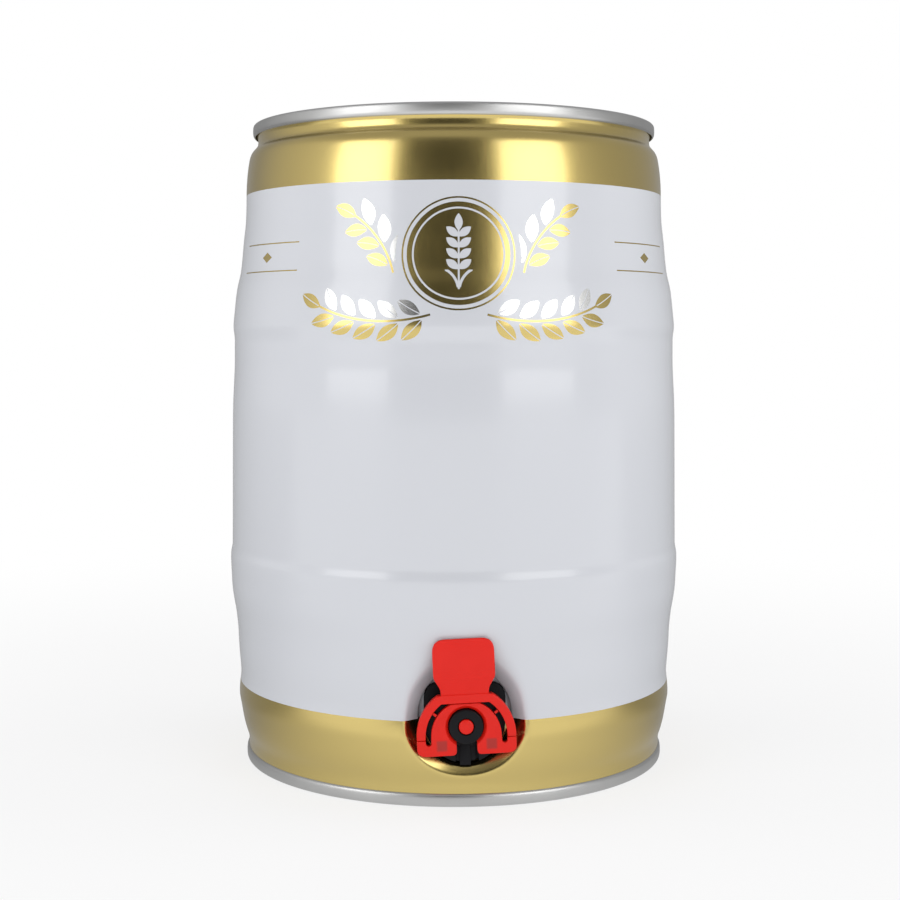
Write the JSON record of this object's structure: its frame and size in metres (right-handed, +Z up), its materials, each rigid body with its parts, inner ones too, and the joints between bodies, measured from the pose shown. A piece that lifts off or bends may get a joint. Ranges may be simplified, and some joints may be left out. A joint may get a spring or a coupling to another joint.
{
  "type": "beer keg",
  "caption": "Small barrel-shaped steel drinks keg with seamed rims, a pull-out plastic tap in a pocket low at the front and a turn-to-open vent plug on top.",
  "frame": {"origin": "on the floor, at the centre of the keg", "axes": "+Z up along the keg's axis, -Y towards the tap, +X to the right of someone facing the tap"},
  "size_m": [0.1714, 0.1714, 0.24],
  "materials": {
    "body_lacquer": "glossy white lacquer with a metallic gold lacquer band at the top and at the bottom",
    "tinplate": "bare satin tinplate",
    "sealant": "matt sealing compound",
    "rubber": "matt black rubber",
    "black_plastic": "fine-textured black moulded plastic",
    "red_plastic": "semi-gloss red moulded plastic"
  },
  "bodies": {
    "keg": {"body_shell": "body_lacquer", "top_end": "tinplate", "bottom_end": "tinplate", "top_seam_sealant": "sealant", "bottom_seam_sealant": "sealant", "vent_grommet": "rubber", "vent_bush": "black_plastic", "tap_housing": "black_plastic", "housing_gasket": "rubber", "housing_lock_ring": "black_plastic", "housing_seal": "rubber"},
    "vent": {"vent_plug": "red_plastic", "vent_o_ring": "rubber"},
    "spout": {"spout_tube": "black_plastic", "spout_stop_ring": "black_plastic"},
    "handle": {"valve_core": "red_plastic", "core_seal_front": "rubber", "core_seal_rear": "rubber", "drive_collar": "black_plastic", "handle_plate": "red_plastic", "tamper_bridge_left": "red_plastic", "tamper_bridge_right": "red_plastic"},
    "bail": {"pull_bail": "red_plastic"}
  },
  "joints": [
    {"name": "vent_turn", "type": "hinge", "parent": "keg", "child": "vent", "pos_m": [0, 0, 0.235], "axis": [0, 0, 1], "range_deg": [0, 90]},
    {"name": "spout_slide", "type": "slide", "parent": "keg", "child": "spout", "axis": [0, -1, 0], "range_m": [0, 0.028]},
    {"name": "handle_turn", "type": "hinge", "parent": "spout", "child": "handle", "pos_m": [0, -0.08, 0.0285], "axis": [0, 1, 0], "range_deg": [0, 90]},
    {"name": "bail_pull", "type": "hinge", "parent": "handle", "child": "bail", "pos_m": [0, -0.0843, 0.0245], "axis": [0.999, 0, 0.0436], "range_deg": [0, 90]}
  ]
}
